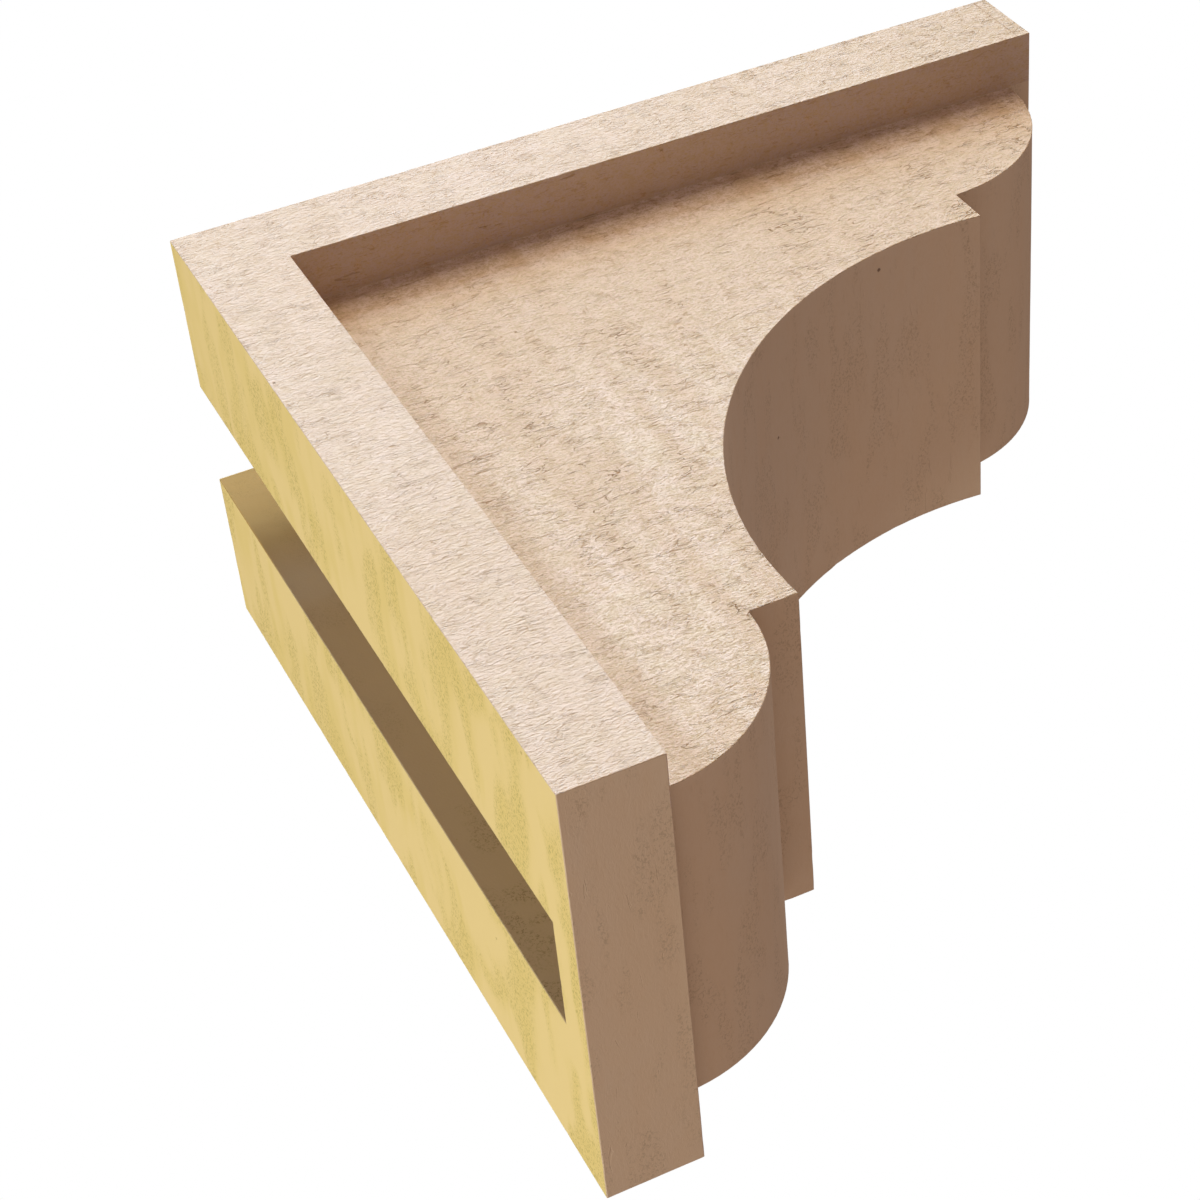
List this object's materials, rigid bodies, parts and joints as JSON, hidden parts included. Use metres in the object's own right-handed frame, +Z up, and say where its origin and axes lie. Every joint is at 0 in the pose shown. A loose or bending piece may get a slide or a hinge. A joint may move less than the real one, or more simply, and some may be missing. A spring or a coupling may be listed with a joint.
{
  "type": "corbel",
  "caption": "Moulded wall corbel: wall plate and top plate at a right angle, joined by a narrower bracket with a deep cove between round bulges; an open-topped channel in the back.",
  "frame": {"origin": "on the back face, on the centre line, in the middle of the solid strip below the closed end of the channel", "axes": "+Y out of the back into the wall, +Z up out of the top face, +X across the width"},
  "size_m": [0.1524, 0.3048, 0.3048],
  "materials": {
    "primed_foam": "tan primer on rigid foam cast with a rough sawn wood grain; the back and its channel are bare yellow foam"
  },
  "bodies": {
    "root": {"corbel": "primed_foam"}
  },
  "joints": []
}
